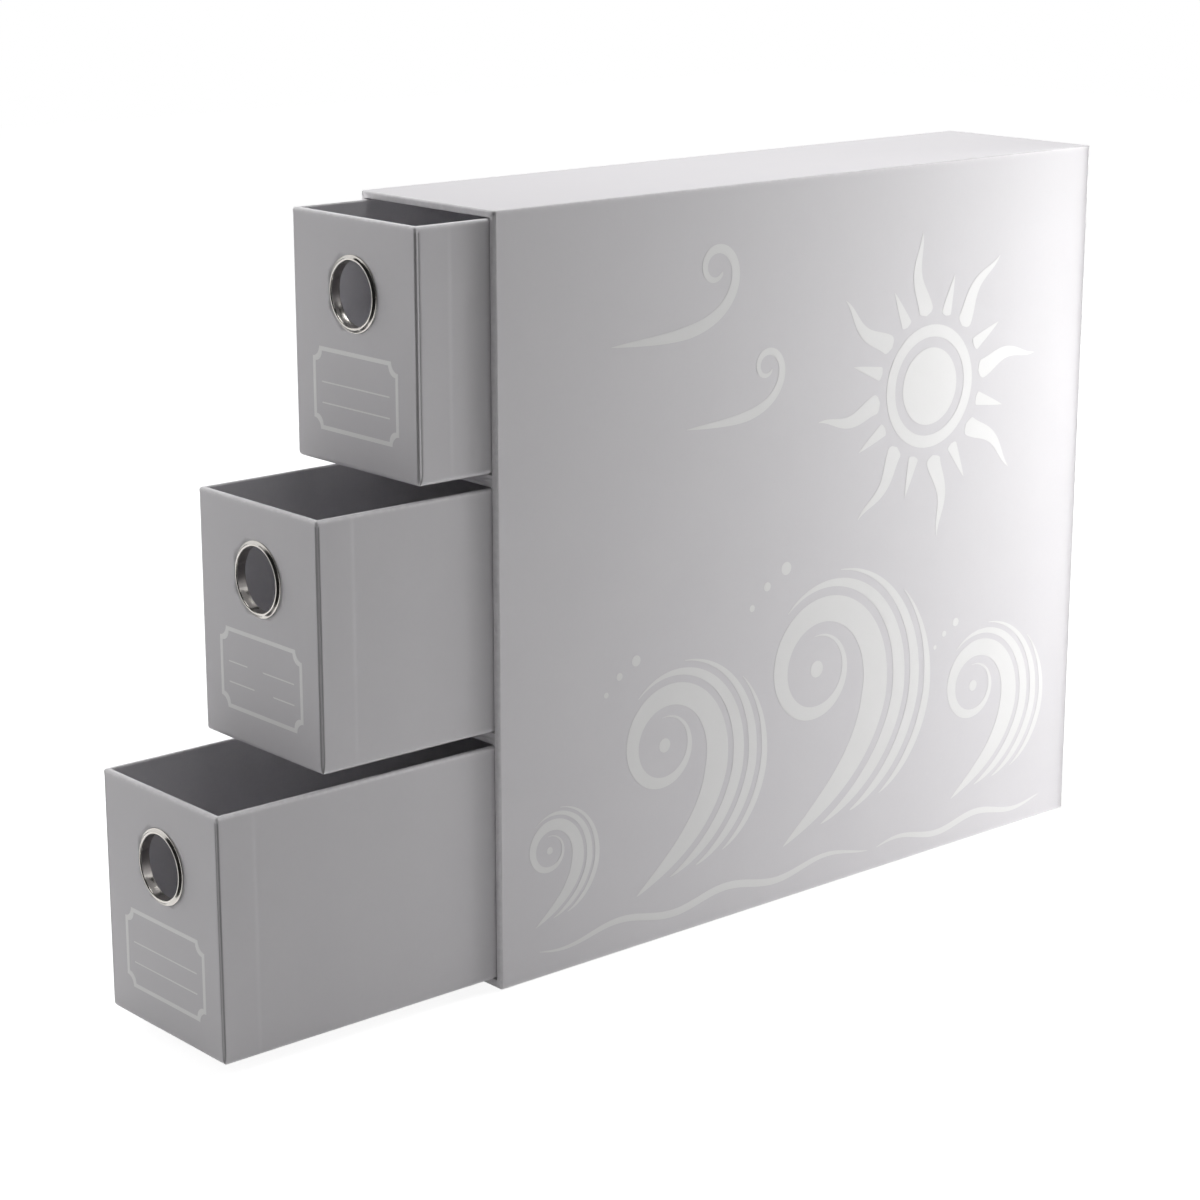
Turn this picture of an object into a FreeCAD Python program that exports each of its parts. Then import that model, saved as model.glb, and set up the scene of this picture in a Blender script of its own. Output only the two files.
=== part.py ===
import FreeCAD, Part
import os
import re
import Sketcher
from FreeCAD import Placement, Rotation, Vector

# A rigid paper-covered case with three card drawers, one above the other.
# Row frame: origin at the centre of the case's underside, front towards -Y, +Z up, millimetres.
# Every drawer slides along Y and stands pulled out by its own length at rest.

doc = FreeCAD.newDocument("CardDrawerBox")

# ---- driving dimensions ---------------------------------------------------------------------

SIZES = {
    # case, outside
    "caseWidth": 83.0,
    "caseDepth": 340.0,
    "caseHeight": 310.0,
    # sheet materials
    "caseBoard": 2.2,       # greyboard of the sides, top and back
    "floorBoard": 3.0,      # greyboard under the bottom drawer
    "shelfBoard": 2.2,      # each of the two boards glued into one shelf
    "drawerBoard": 1.8,
    "wrapPaper": 0.3,       # pale covering paper
    "liningPaper": 0.2,     # dark paper inside
    "basePaper": 0.25,      # sheet that hides the wrap's turned-in edges below
    "baseInset": 2.5,       # bare margin round the base sheet
    "foldRound": 2.3,       # rounding of the case's folded edges, in thicknesses of its paper
    # running room of a drawer in its bay
    "sideGap": 0.35,
    "floorGap": 0.3,
    "roofGap": 0.5,
    "rearGap": 0.8,
    # drawer details
    "drawerRound": 1.2,     # rounding of the board's lower outer edges
    "cornerLand": 0.2,      # what is left of a board's end where it is cut back at the upright corners
    # finger ring: a flanged metal eyelet with a washer behind the front board
    "ringDrop": 29.2,       # its centre, below the drawer's top edge
    "ringBore": 12.8,       # clear radius
    "crestOut": 0.7,        # from the bore out to the flange's highest line
    "flangeOut": 2.3,       # from the bore out to the flange's rim
    "ringProud": 1.2,       # height of the highest line above the drawer's front
    "ringMetal": 0.4,       # sheet thickness
    "lipOut": 1.2,          # from the bore out to the edge of the lip rolled over the washer
    "washerOut": 2.2,       # from the bore out to the washer's rim
    "washerThick": 0.6,
    "barrelGap": 0.15,      # room round the ring's barrel, in radius
    # how far each drawer stands out of the case at rest
    "topPull": 34.8,
    "middlePull": 81.7,
    "bottomPull": 129.1,
}

sheet = doc.addObject("Spreadsheet::Sheet", "Sizes")
for row, (alias, number) in enumerate(SIZES.items(), start=1):
    sheet.set("A%d" % row, alias)
    sheet.set("B%d" % row, str(number))
    sheet.setAlias("B%d" % row, alias)
doc.recompute()


def size(text):
    """Expression on the sheet: every word in text that names a cell gets the sheet's name."""
    return re.sub(r"\b(%s)\b" % "|".join(SIZES), r"Sizes.\1", text)


# ---- sizes that follow from the sheet -------------------------------------------------------

boardRoomWidth = "(caseWidth - 2 * wrapPaper)"
boardRoomDepth = "(caseDepth - 2 * wrapPaper)"
boardRoomFloor = "(basePaper + wrapPaper)"
boardRoomHeight = "(caseHeight - basePaper - 2 * wrapPaper)"
caseWall = "(wrapPaper + caseBoard + liningPaper)"
insideWidth = "(%s - 2 * caseBoard)" % boardRoomWidth               # between the side boards
insideDepth = "(%s - caseBoard)" % boardRoomDepth                   # front edges to back board
bayWidth = "(caseWidth - 2 * %s)" % caseWall
shelfThick = "(2 * shelfBoard + 2 * liningPaper)"
floorTop = "(%s + floorBoard + liningPaper)" % boardRoomFloor       # top of the lowest bay's floor
bayHeight = "((caseHeight - %s - %s - 2 * %s) / 3)" % (caseWall, floorTop, shelfThick)

drawerWidth = "(%s - 2 * sideGap)" % bayWidth
drawerHeight = "(%s - floorGap - roofGap)" % bayHeight
drawerLength = "(caseDepth - %s - rearGap)" % caseWall
wallRoomWidth = "(%s - 2 * wrapPaper)" % drawerWidth                # inside the drawer's wrap
wallRoomLength = "(%s - 2 * wrapPaper)" % drawerLength
wallRoomHeight = "(%s - 2 * wrapPaper)" % drawerHeight
hollowWidth = "(%s - 2 * drawerBoard)" % wallRoomWidth              # between the drawer's boards
hollowLength = "(%s - 2 * drawerBoard)" % wallRoomLength
drawerWall = "(wrapPaper + drawerBoard + liningPaper)"
ringHeight = "(%s - ringDrop)" % drawerHeight                       # above the drawer's underside
ringHole = "(ringBore + ringMetal + barrelGap)"                     # radius through the layers
ringCrest = "(ringBore + crestOut)"
ringFlange = "(ringBore + flangeOut)"
ringLip = "(ringBore + lipOut)"
cornerRelief = "(drawerBoard - cornerLand)"


def bay_floor(level):
    return "(%s + %d * (%s + %s))" % (floorTop, level, bayHeight, shelfThick)


# ---- ways to make a piece -------------------------------------------------------------------

pieces = []


def new_piece(label, place, rotation=None):
    """Empty body of one piece, its own origin at place."""
    body = doc.addObject("PartDesign::Body", label)
    body.Label = label
    body.Placement = Placement(Vector(), rotation or Rotation())
    for axis, position in zip("xyz", place):
        body.setExpression("Placement.Base." + axis, size(position))
    pieces.append(body)
    return body


def new_sketch(body, name, role, offset=("0", "0", "0")):
    """Sketch on one of the body's own origin planes, moved by offset in the plane's directions."""
    sketch = body.newObject("Sketcher::SketchObject", body.Name + "_" + name)
    origin_plane = next(f for f in body.Origin.OriginFeatures if f.Role == role)
    sketch.AttachmentSupport = (origin_plane, [""])
    sketch.MapMode = "FlatFace"
    for axis, distance in zip("xyz", offset):
        sketch.setExpression("AttachmentOffset.Base." + axis, size(distance))
    return sketch


def constrain(sketch, kind, geometry, point, expression):
    """Distance of a point from the sketch's own axes, along X or Y."""
    number = sheet.evalExpression(size(expression))
    index = sketch.addConstraint(Sketcher.Constraint(kind, -1, 1, geometry, point, number))
    sketch.setExpression("Constraints[%d]" % index, size(expression))


def rectangle(body, name, role, width, height, offset=("0", "0", "0")):
    """Rectangle centred on the sketch's origin."""
    sketch = new_sketch(body, name, role, offset)
    half_width = sheet.evalExpression(size(width)) / 2
    half_height = sheet.evalExpression(size(height)) / 2
    corners = [Vector(-half_width, -half_height, 0), Vector(half_width, -half_height, 0),
               Vector(half_width, half_height, 0), Vector(-half_width, half_height, 0)]
    for i in range(4):
        sketch.addGeometry(Part.LineSegment(corners[i], corners[(i + 1) % 4]))
    for i in range(4):
        sketch.addConstraint(Sketcher.Constraint("Coincident", i, 2, (i + 1) % 4, 1))
    for i in (0, 2):
        sketch.addConstraint(Sketcher.Constraint("Horizontal", i))
        sketch.addConstraint(Sketcher.Constraint("Vertical", i + 1))
    sketch.addConstraint(Sketcher.Constraint("Symmetric", 0, 1, 2, 1, -1, 1))
    constrain(sketch, "DistanceX", 2, 1, "(%s) / 2" % width)
    constrain(sketch, "DistanceY", 2, 1, "(%s) / 2" % height)
    return sketch


def circles(body, name, role, radii, offset=("0", "0", "0")):
    """One or two circles centred on the sketch's origin."""
    sketch = new_sketch(body, name, role, offset)
    for i, radius in enumerate(radii):
        number = sheet.evalExpression(size(radius))
        sketch.addGeometry(Part.Circle(Vector(), Vector(0, 0, 1), number))
        sketch.addConstraint(Sketcher.Constraint("Coincident", i, 3, -1, 1))
        index = sketch.addConstraint(Sketcher.Constraint("Radius", i, number))
        sketch.setExpression("Constraints[%d]" % index, size(radius))
    return sketch


def pad(body, sketch, length):
    feature = body.newObject("PartDesign::Pad", sketch.Name + "_pad")
    feature.Profile = sketch
    feature.setExpression("Length", size(length))
    return feature


def pocket(body, sketch, length, upwards=False):
    """Cut away from the sketch: down from a level sketch, rearwards from an upright one."""
    feature = body.newObject("PartDesign::Pocket", sketch.Name + "_cut")
    feature.Profile = sketch
    feature.Reversed = upwards
    feature.setExpression("Length", size(length))
    return feature


def resolved(feature):
    """Shape of a feature once the document has caught up with it."""
    doc.recompute()
    return feature.Shape


def dress(body, kind, name, base, wanted, amount):
    """Fillet or chamfer on the edges of base whose middle passes wanted."""
    edges = resolved(base).Edges
    names = ["Edge%d" % (i + 1) for i, edge in enumerate(edges) if wanted(edge.CenterOfMass)]
    feature = body.newObject("PartDesign::" + kind, body.Name + "_" + name)
    feature.Base = (base, names)
    feature.setExpression("Radius" if kind == "Fillet" else "Size", size(amount))
    return feature


def near(a, b):
    return abs(a - b) < 1e-4


def box_edges(box):
    """Test for the middle of an upright edge of a box, or of an edge round its floor."""
    def wanted(middle):
        on_x = near(middle.x, box.XMin) or near(middle.x, box.XMax)
        on_y = near(middle.y, box.YMin) or near(middle.y, box.YMax)
        return (on_x and on_y) or (near(middle.z, box.ZMin) and (on_x or on_y))
    return wanted


def board(label, width, depth, height, place):
    """Flat rectangular sheet centred on its place, standing on its place's level."""
    body = new_piece(label, place)
    return body, pad(body, rectangle(body, "outline", "XY_Plane", width, depth), height)


def finger_hole(body, height, front, depth):
    """Round hole for the ring's barrel, cut rearwards from a plane that lies front of the middle."""
    sketch = circles(body, "hole", "XZ_Plane", [ringHole], ("0", height, front))
    return pocket(body, sketch, depth)


# ---- case -----------------------------------------------------------------------------------

def case_boards():
    side = "((%s - caseBoard) / 2)" % boardRoomWidth
    board("case_left_board", "caseBoard", boardRoomDepth, boardRoomHeight,
          ("-" + side, "0", boardRoomFloor))
    board("case_right_board", "caseBoard", boardRoomDepth, boardRoomHeight,
          (side, "0", boardRoomFloor))
    board("case_top_board", insideWidth, boardRoomDepth, "caseBoard",
          ("0", "0", "caseHeight - wrapPaper - caseBoard"))
    board("case_floor_board", insideWidth, boardRoomDepth, "floorBoard", ("0", "0", boardRoomFloor))
    board("case_back_board", insideWidth, "caseBoard", "%s - floorBoard - caseBoard" % boardRoomHeight,
          ("0", "(%s - caseBoard) / 2" % boardRoomDepth, "%s + floorBoard" % boardRoomFloor))


def case_wrap():
    """Covering paper round all the boards, with the drawers' mouth open at the front."""
    height = "(caseHeight - basePaper)"
    body = new_piece("case_wrap", ("0", "0", "basePaper"))
    outside = pad(body, rectangle(body, "outline", "XY_Plane", "caseWidth", "caseDepth"), height)
    dress(body, "Fillet", "rounding", outside, lambda middle: True, "foldRound * wrapPaper")
    room = rectangle(body, "room", "XY_Plane", boardRoomWidth, boardRoomDepth, ("0", "0", "wrapPaper"))
    pocket(body, room, boardRoomHeight, upwards=True)
    mouth_height = "(%s - floorBoard - caseBoard)" % boardRoomHeight
    mouth_middle = "(wrapPaper + floorBoard + %s / 2)" % mouth_height
    mouth = rectangle(body, "mouth", "XZ_Plane", insideWidth, mouth_height,
                      ("0", mouth_middle, "caseDepth / 2"))
    pocket(body, mouth, "wrapPaper")


def base_sheet():
    """Paper under the case: the flat face that it stands on."""
    board("case_base_sheet", "caseWidth - 2 * baseInset", "caseDepth - 2 * baseInset", "basePaper",
          ("0", "0", "0"))


def shelf(name, level):
    """Two boards glued face to face, and the paper strip over their front edges."""
    underside = "(%s - %s + liningPaper)" % (bay_floor(level), shelfThick)
    middle = "(-caseBoard / 2)"
    for layer, sheet_name in enumerate(("lower", "upper")):
        board("%s_shelf_%s_board" % (name, sheet_name), insideWidth, insideDepth, "shelfBoard",
              ("0", middle, "%s + %d * shelfBoard" % (underside, layer)))
    board("%s_shelf_edge_strip" % name, insideWidth, "wrapPaper", shelfThick,
          ("0", "-(caseDepth - wrapPaper) / 2", "%s - liningPaper" % underside))


def bay_lining(name, level):
    """Dark paper on the five inner faces of one bay, open at the front."""
    body = new_piece(name + "_bay_lining", ("0", "-caseBoard / 2", "%s - liningPaper" % bay_floor(level)))
    outside = rectangle(body, "outline", "XY_Plane", insideWidth, insideDepth)
    pad(body, outside, "%s + 2 * liningPaper" % bayHeight)
    middle = "(liningPaper + %s / 2)" % bayHeight
    hollow = rectangle(body, "hollow", "XZ_Plane", bayWidth, bayHeight,
                       ("0", middle, "%s / 2" % insideDepth))
    pocket(body, hollow, "%s - liningPaper" % insideDepth)


# ---- drawer ---------------------------------------------------------------------------------

def drawer_boards(name, at):
    """Five boards inside the drawer's wrap: the walls stand round the floor."""
    across = "(%s - drawerBoard) / 2" % wallRoomWidth
    for side, sign in (("left", -1), ("right", 1)):
        body, slab = board("%s_drawer_%s_board" % (name, side), "drawerBoard", hollowLength,
                           wallRoomHeight, at("%d * %s" % (sign, across), "0", "wrapPaper"))
        box = resolved(slab).BoundBox
        outer = box.XMin if sign < 0 else box.XMax
        dress(body, "Chamfer", "lower_edge", slab,
              lambda middle: near(middle.x, outer) and near(middle.z, 0), "drawerRound")
    along = "(%s - drawerBoard) / 2" % wallRoomLength
    for end, sign in (("front", -1), ("back", 1)):
        body, slab = board("%s_drawer_%s_board" % (name, end), wallRoomWidth, "drawerBoard",
                           wallRoomHeight, at("0", "%d * %s" % (sign, along), "wrapPaper"))
        box = resolved(slab).BoundBox
        outer, inner = (box.YMin, box.YMax) if sign < 0 else (box.YMax, box.YMin)
        lower = dress(body, "Chamfer", "lower_edge", slab,
                      lambda middle: near(middle.z, 0) and not near(middle.y, inner), "drawerRound")
        dress(body, "Chamfer", "corners", lower,
              lambda middle: near(middle.y, outer) and near(abs(middle.x), box.XMax), cornerRelief)
        if end == "front":
            finger_hole(body, "%s - wrapPaper" % ringHeight, "drawerBoard / 2", "drawerBoard")
    board("%s_drawer_floor_board" % name, hollowWidth, hollowLength, "drawerBoard",
          at("0", "0", "wrapPaper"))


def drawer_wrap(name, at):
    """Pale paper over the outside of the drawer and over its top edges."""
    body = new_piece(name + "_drawer_wrap", at("0", "0", "0"))
    outside = pad(body, rectangle(body, "outline", "XY_Plane", drawerWidth, drawerLength), drawerHeight)
    room = rectangle(body, "room", "XY_Plane", wallRoomWidth, wallRoomLength, ("0", "0", "wrapPaper"))
    hollowed = pocket(body, room, wallRoomHeight, upwards=True)
    inner_edges = box_edges(resolved(room).BoundBox)
    inner = dress(body, "Fillet", "inner_rounding", hollowed, inner_edges, "drawerRound")
    outer_edges = box_edges(resolved(outside).BoundBox)
    dress(body, "Fillet", "rounding", inner, outer_edges, "drawerRound + wrapPaper")
    mouth = rectangle(body, "mouth", "XY_Plane", hollowWidth, hollowLength, ("0", "0", drawerHeight))
    pocket(body, mouth, "wrapPaper")
    finger_hole(body, ringHeight, "%s / 2" % drawerLength, "wrapPaper")


def drawer_lining(name, at):
    """Dark paper on the drawer's five inner faces, up to the boards' top edges."""
    body = new_piece(name + "_drawer_lining", at("0", "0", "wrapPaper + drawerBoard"))
    height = "(%s - drawerBoard)" % wallRoomHeight
    pad(body, rectangle(body, "outline", "XY_Plane", hollowWidth, hollowLength), height)
    hollow = rectangle(body, "hollow", "XY_Plane", "(%s - 2 * liningPaper)" % hollowWidth,
                       "(%s - 2 * liningPaper)" % hollowLength, ("0", "0", height))
    pocket(body, hollow, "%s - liningPaper" % height)
    finger_hole(body, "%s - wrapPaper - drawerBoard" % ringHeight, "%s / 2" % hollowLength,
                "liningPaper")


def ring(name, at):
    """Metal eyelet turned about the finger hole's axis, from the lip behind to the flange in front."""
    face = "(ringMetal + washerThick + %s)" % drawerWall
    crest = "(%s + ringProud)" % face
    body = new_piece(name + "_drawer_ring", at("0", "-%s / 2 + %s" % (drawerLength, face), ringHeight),
                     Rotation(Vector(1, 0, 0), 90))
    outline = [(ringFlange, face), (ringCrest, crest), ("ringBore", "%s - crestOut" % crest),
               ("ringBore", "0"), (ringLip, "0"), (ringLip, "ringMetal"),
               ("ringBore + ringMetal", "ringMetal"), ("ringBore + ringMetal", face)]
    points = [Vector(sheet.evalExpression(size(r)), sheet.evalExpression(size(z)), 0) for r, z in outline]
    sketch = new_sketch(body, "section", "XZ_Plane")
    # two arcs centred under the crest: the outer slope and the fall into the bore
    drop = points[0].x - points[1].x
    rise = points[1].y - points[0].y
    outer_radius = (drop ** 2 + rise ** 2) / (2 * rise)
    inner_radius = points[1].x - points[2].x
    for start, end, radius in ((0, 1, outer_radius), (1, 2, inner_radius)):
        centre = Vector(points[1].x, points[1].y - radius, 0)
        half_way = (points[start] + points[end]) / 2 - centre
        half_way.normalize()
        sketch.addGeometry(Part.Arc(points[start], centre + half_way * radius, points[end]))
    for i in range(2, len(points)):
        sketch.addGeometry(Part.LineSegment(points[i], points[(i + 1) % len(points)]))
    for i, (r, z) in enumerate(outline):
        sketch.addConstraint(Sketcher.Constraint("Coincident", i, 2, (i + 1) % len(outline), 1))
        constrain(sketch, "DistanceX", i, 1, r)
        if z == "0":
            sketch.addConstraint(Sketcher.Constraint("PointOnObject", i, 1, -1))
        else:
            constrain(sketch, "DistanceY", i, 1, z)
    for arc in (0, 1):
        constrain(sketch, "DistanceX", arc, 3, ringCrest)
    turned = body.newObject("PartDesign::Revolution", body.Name + "_turned")
    turned.Profile = sketch
    turned.ReferenceAxis = (sketch, ["V_Axis"])
    turned.Angle = 360


def ring_washer(name, at):
    """Flat metal ring between the lining and the eyelet's rolled lip."""
    back = "-%s / 2 + %s + washerThick" % (drawerLength, drawerWall)
    body = new_piece(name + "_drawer_ring_washer", at("0", back, ringHeight), Rotation(Vector(1, 0, 0), 90))
    sketch = circles(body, "outline", "XY_Plane", [ringHole, "ringBore + washerOut"])
    pad(body, sketch, "washerThick")


def drawer(name, level, pull):
    """One drawer: its frame's origin is the middle of its underside."""
    middle = "(%s / 2 - caseDepth / 2 - %s)" % (drawerLength, pull)
    underside = "(%s + floorGap)" % bay_floor(level)

    def at(x, y, z):
        return x, "%s + %s" % (middle, y), "%s + %s" % (underside, z)

    drawer_boards(name, at)
    drawer_wrap(name, at)
    drawer_lining(name, at)
    ring(name, at)
    ring_washer(name, at)


# ---- the whole box --------------------------------------------------------------------------

case_boards()
case_wrap()
base_sheet()
for level, name in enumerate(("bottom", "middle", "top")):
    bay_lining(name, level)
    drawer(name, level, name + "Pull")
for level, name in ((1, "lower"), (2, "upper")):
    shelf(name, level)
doc.recompute()

for item in doc.Objects:
    if "Invalid" in item.State or "Error" in item.State:
        raise RuntimeError("%s failed: %s" % (item.Label, item.State))
for piece in pieces:
    if piece.Shape.isNull() or not piece.Shape.isValid() or len(piece.Shape.Solids) != 1:
        raise RuntimeError("%s has no sound solid" % piece.Label)

os.makedirs("parts", exist_ok=True)
for piece in pieces:
    piece.Shape.exportStep("parts/%s.step" % piece.Label)
    box = piece.Shape.BoundBox
    print("%-30s %8.2f %8.2f %8.2f  x %8.2f %8.2f %8.2f  volume %10.1f"
          % (piece.Label, box.XMin, box.YMin, box.ZMin, box.XMax, box.YMax, box.ZMax, piece.Shape.Volume))
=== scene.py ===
import math

import bmesh
import bpy
import numpy as np
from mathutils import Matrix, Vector


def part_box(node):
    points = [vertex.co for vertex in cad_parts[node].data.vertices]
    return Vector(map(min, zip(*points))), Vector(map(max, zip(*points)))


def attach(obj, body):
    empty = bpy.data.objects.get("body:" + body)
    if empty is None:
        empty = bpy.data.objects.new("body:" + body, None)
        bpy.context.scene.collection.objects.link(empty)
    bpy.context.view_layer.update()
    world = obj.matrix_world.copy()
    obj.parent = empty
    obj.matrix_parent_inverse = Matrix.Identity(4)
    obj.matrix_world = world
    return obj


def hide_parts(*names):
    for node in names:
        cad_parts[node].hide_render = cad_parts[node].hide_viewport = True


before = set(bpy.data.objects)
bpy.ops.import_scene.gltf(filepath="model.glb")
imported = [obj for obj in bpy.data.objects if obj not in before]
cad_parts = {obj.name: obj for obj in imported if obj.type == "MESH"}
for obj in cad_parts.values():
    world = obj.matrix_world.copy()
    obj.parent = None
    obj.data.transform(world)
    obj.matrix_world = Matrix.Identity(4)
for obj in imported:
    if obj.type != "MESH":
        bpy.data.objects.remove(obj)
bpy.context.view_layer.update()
print("frame loaded,", len(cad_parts), "pieces")

mm = 0.001
drawers = ("bottom", "middle", "top")
shelves = ("lower", "upper")

camera = {
    "aim": (-22.5 * mm, -62.4 * mm, 129.1 * mm),
    "distance": 1250 * mm,
    "azimuth": 49.0,
    "elevation": 15.0,
    "lens": 88.22,
    "sensor": 36.0,
}

# Each panel: centre, the point it faces, width and height in metres, power in watts, and whether
# polished surfaces mirror it.
panels = {
    "topPanel": {"at": (0.0, 0.0, 1.0), "to": (0.0, 0.0, 0.15), "size": (0.4, 0.4), "power": 3.45},
    "frontTopPanel": {"at": (0.0, -0.4, 1.1), "to": (0.0, -0.2, 0.15), "size": (0.5, 0.5), "power": 0.25},
    "rearTopPanel": {"at": (-0.5, 0.8, 1.1), "to": (0.0, 0.0, 0.15), "size": (0.8, 0.8), "power": 7.3,
                     "inGloss": False},
    "rearStrip": {"at": (0.16, 0.6, 0.25), "to": (0.05, 0.0, 0.18), "size": (0.2, 0.4), "power": 4.35},
    "rearSpot": {"at": (0.25, 0.45, 0.2), "to": (0.1, 0.0, 0.15), "size": (0.2, 0.35), "power": 0.85},
    "leftPanel": {"at": (-1.4, -0.5, 0.36), "to": (0.0, -0.1, 0.15), "size": (0.9, 0.9), "power": 23.2,
                  "inGloss": False},
}

studio = {
    "floorHalf": 3000 * mm,
    "floorDrop": 0.2 * mm,
    "floorTone": 0.95,
    "shownGlow": (0.90, 1.0),
    "glowReach": (270 * mm, 520 * mm),
    "shownTone": 0.28,
    "ambient": 0.03,
    "finX": 43 * mm,
    "finY": (172 * mm, 500 * mm),
    "finTop": 620 * mm,
    "flagTone": 0.03,
}

# Dark cards that only polished surfaces see, by their four corners in metres.
flags = {
    "rightFlag": [(-0.22, -1.5, 0.001), (1.6, -1.5, 0.001), (1.6, -0.3, 0.001), (0.0, -0.33, 0.001)],
    "frontFlag": [(-0.75, -1.5, 0.0), (1.5, -1.5, 0.0), (1.5, -1.5, 2.0), (-0.75, -1.5, 2.0)],
    "sideFlag": [(1.5, -1.5, 0.0), (1.5, -0.3, 0.0), (1.5, -0.3, 2.0), (1.5, -1.5, 2.0)],
    "leftFlag": [(-0.2, -0.36, 0.001), (-0.2, -0.06, 0.001), (-1.6, 0.7, 0.001), (-1.6, -0.1, 0.001)],
    "topFlag": [(-1.5, -1.5, 1.7), (1.5, -1.5, 1.7), (1.5, 1.5, 1.7), (-1.5, 1.5, 1.7)],
}


def setCamera():
    turn, tilt = math.radians(camera["azimuth"]), math.radians(camera["elevation"])
    back = Vector((math.sin(turn) * math.cos(tilt), -math.cos(turn) * math.cos(tilt), math.sin(tilt)))
    data = bpy.data.cameras.new("camera")
    data.lens = camera["lens"]
    data.sensor_width = camera["sensor"]
    data.clip_start = 0.05
    eye = bpy.data.objects.new("camera", data)
    eye.location = Vector(camera["aim"]) + back * camera["distance"]
    eye.rotation_mode = "QUATERNION"
    eye.rotation_quaternion = (-back).to_track_quat("-Z", "Y")
    bpy.context.scene.collection.objects.link(eye)
    bpy.context.scene.camera = eye


def addPanel(name, at, to, size, power, inGloss=True):
    data = bpy.data.lights.new(name, "AREA")
    data.shape = "RECTANGLE"
    data.size, data.size_y = size
    data.energy = power
    lamp = bpy.data.objects.new(name, data)
    lamp.location = at
    lamp.rotation_mode = "QUATERNION"
    lamp.rotation_quaternion = (Vector(to) - Vector(at)).to_track_quat("-Z", "Y")
    lamp.visible_camera = False
    lamp.visible_glossy = inGloss
    bpy.context.scene.collection.objects.link(lamp)


def addNode(tree, kind, settings=None, **values):
    # A node with its settings and the values of its inputs; a value may be another node's output.
    node = tree.nodes.new(kind)
    for key, value in (settings or {}).items():
        setattr(node, key, value)
    for key, value in values.items():
        socket = node.inputs[int(key[1:])] if key[1:].isdigit() else node.inputs[key.replace("_", " ")]
        if isinstance(value, bpy.types.NodeSocket):
            tree.links.new(value, socket)
        else:
            socket.default_value = value
    return node


def newMaterial(name):
    # An empty node tree with its output, and the tree.
    material = bpy.data.materials.new(name)
    material.use_nodes = True
    tree = material.node_tree
    tree.nodes.clear()
    return material, tree


def seenBy(tree):
    # 1 for rays from the camera, from gloss and through glass, 0 for the light that falls on things.
    path = addNode(tree, "ShaderNodeLightPath")
    first = addNode(tree, "ShaderNodeMath", {"operation": "MAXIMUM"},
                    i0=path.outputs["Is Camera Ray"], i1=path.outputs["Is Glossy Ray"])
    both = addNode(tree, "ShaderNodeMath", {"operation": "MAXIMUM"},
                   i0=first.outputs[0], i1=path.outputs["Is Transmission Ray"])
    return both.outputs[0]


def flatPanel(name, points, material):
    mesh = bpy.data.meshes.new(name)
    mesh.from_pydata([tuple(point) for point in points], [], [(0, 1, 2, 3)])
    mesh.materials.append(material)
    panel = bpy.data.objects.new(name, mesh)
    bpy.context.scene.collection.objects.link(panel)
    return panel


def addStudio():
    floorLook, tree = newMaterial("floorLook")
    diffuse = addNode(tree, "ShaderNodeBsdfDiffuse", Color=(studio["floorTone"],) * 3 + (1,))
    shown = addNode(tree, "ShaderNodeBsdfDiffuse", Color=(studio["shownTone"],) * 3 + (1,))
    spot = addNode(tree, "ShaderNodeTexCoord").outputs["Object"]
    away = addNode(tree, "ShaderNodeVectorMath", {"operation": "LENGTH"}, i0=spot)
    (nearGlow, farGlow), (nearReach, farReach) = studio["shownGlow"], studio["glowReach"]
    level = addNode(tree, "ShaderNodeMapRange", Value=away.outputs["Value"], From_Min=nearReach,
                    From_Max=farReach, To_Min=nearGlow, To_Max=farGlow)
    glow = addNode(tree, "ShaderNodeEmission", Strength=level.outputs[0])
    white = addNode(tree, "ShaderNodeAddShader", i0=shown.outputs[0], i1=glow.outputs[0])
    mix = addNode(tree, "ShaderNodeMixShader", i0=seenBy(tree), i1=diffuse.outputs[0], i2=white.outputs[0])
    addNode(tree, "ShaderNodeOutputMaterial", Surface=mix.outputs[0])
    half, drop = studio["floorHalf"], -studio["floorDrop"]
    flatPanel("floor", [(-half, -half, drop), (half, -half, drop), (half, half, drop), (-half, half, drop)],
              floorLook)

    flagLook, tree = newMaterial("flagLook")
    dark = addNode(tree, "ShaderNodeBsdfDiffuse", Color=(studio["flagTone"],) * 3 + (1,))
    addNode(tree, "ShaderNodeOutputMaterial", Surface=dark.outputs[0])
    x, (near, far), top = studio["finX"], studio["finY"], studio["finTop"]
    fin = flatPanel("fin", [(x, near, 0), (x, far, 0), (x, far, top), (x, near, top)], flagLook)
    fin.visible_camera = False
    fin.visible_glossy = False
    for name, outline in flags.items():
        flag = flatPanel(name, outline, flagLook)
        flag.visible_camera = False
        flag.visible_diffuse = False
        flag.visible_shadow = False

    world = bpy.data.worlds.new("studio")
    world.use_nodes = True
    tree = world.node_tree
    tree.nodes.clear()
    ambient = addNode(tree, "ShaderNodeBackground", Strength=studio["ambient"])
    backdrop = addNode(tree, "ShaderNodeBackground", Color=(1, 1, 1, 1), Strength=1.0)
    mix = addNode(tree, "ShaderNodeMixShader", i0=seenBy(tree), i1=ambient.outputs[0],
                  i2=backdrop.outputs[0])
    addNode(tree, "ShaderNodeOutputWorld", Surface=mix.outputs[0])
    bpy.context.scene.world = world
    bpy.context.scene.view_settings.view_transform = "Standard"


setCamera()
for name, panel in panels.items():
    addPanel(name, **panel)
addStudio()
print("camera, lamps and studio set")


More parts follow.
